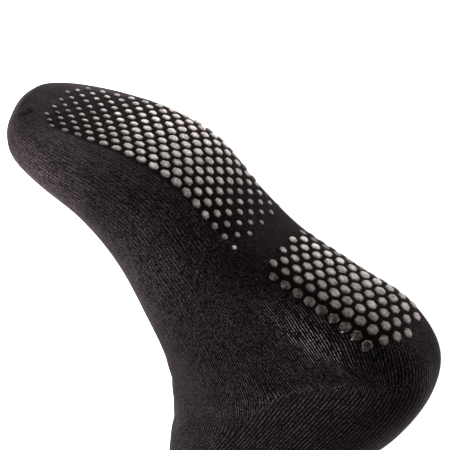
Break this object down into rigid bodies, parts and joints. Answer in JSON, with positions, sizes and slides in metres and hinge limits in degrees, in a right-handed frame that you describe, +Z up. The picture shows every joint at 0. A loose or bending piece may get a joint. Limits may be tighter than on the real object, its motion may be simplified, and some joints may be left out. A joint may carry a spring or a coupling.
{
  "type": "grip sock",
  "caption": "Crew-height knit sock for a left foot, lying on its outer side, with raised hexagonal anti-slip dots in a forefoot field and a heel field on the sole.",
  "frame": {"origin": "centre of the lying sock's box, on the floor under it", "axes": "+X towards the toes, +Y up the leg to the collar, +Z up from the outer side to the inner side; the sole faces -Y"},
  "size_m": [0.2438, 0.2038, 0.0922],
  "materials": {
    "knit": "black fine-gauge plain knit, matt",
    "print": "grey translucent printed silicone, satin"
  },
  "bodies": {
    "root": {"sock_body": "knit", "grip_forefoot": "print", "grip_heel": "print"}
  },
  "joints": []
}
